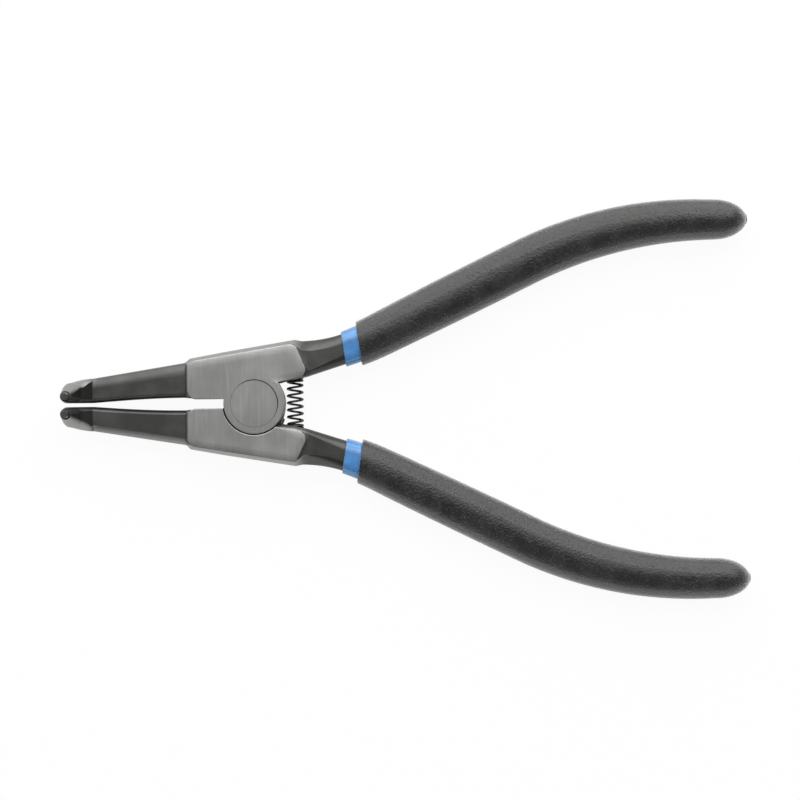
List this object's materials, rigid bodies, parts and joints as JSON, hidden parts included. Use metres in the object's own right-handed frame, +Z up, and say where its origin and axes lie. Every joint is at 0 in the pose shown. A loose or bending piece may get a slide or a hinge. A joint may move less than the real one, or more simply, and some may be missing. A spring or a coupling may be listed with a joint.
{
  "type": "circlip pliers",
  "caption": "External circlip pliers with tips bent up at a right angle, a riveted lap joint, a coil return spring and dipped vinyl grips.",
  "frame": {"origin": "on the pivot axis at the joint's underside, where the tool lies on a bench", "axes": "+X from the pivot to the handles, +Y to the upper lever, +Z up, the way the bent tips point"},
  "size_m": [0.1642, 0.0958, 0.0174],
  "materials": {
    "forged_steel": "phosphated forging with ground joint faces",
    "ground_steel": "ground flush with the joint",
    "spring_steel": "black oiled wire",
    "blue_vinyl": "glossy dip",
    "black_vinyl": "matt dip with a fine leathery skin"
  },
  "bodies": {
    "lower_half": {"lower_lever": "forged_steel", "joint_rivet": "ground_steel", "return_spring": "spring_steel", "lower_undercoat": "blue_vinyl", "lower_grip": "black_vinyl"},
    "upper_half": {"upper_lever": "forged_steel", "upper_undercoat": "blue_vinyl", "upper_grip": "black_vinyl"}
  },
  "joints": [
    {"name": "pivot", "type": "hinge", "parent": "lower_half", "child": "upper_half", "pos_m": [0, 0, 0], "axis": [0, 0, -1], "range_deg": [-0.8, 30], "stiffness_Nm_per_rad": 0.31, "deforming": ["return_spring"]}
  ]
}
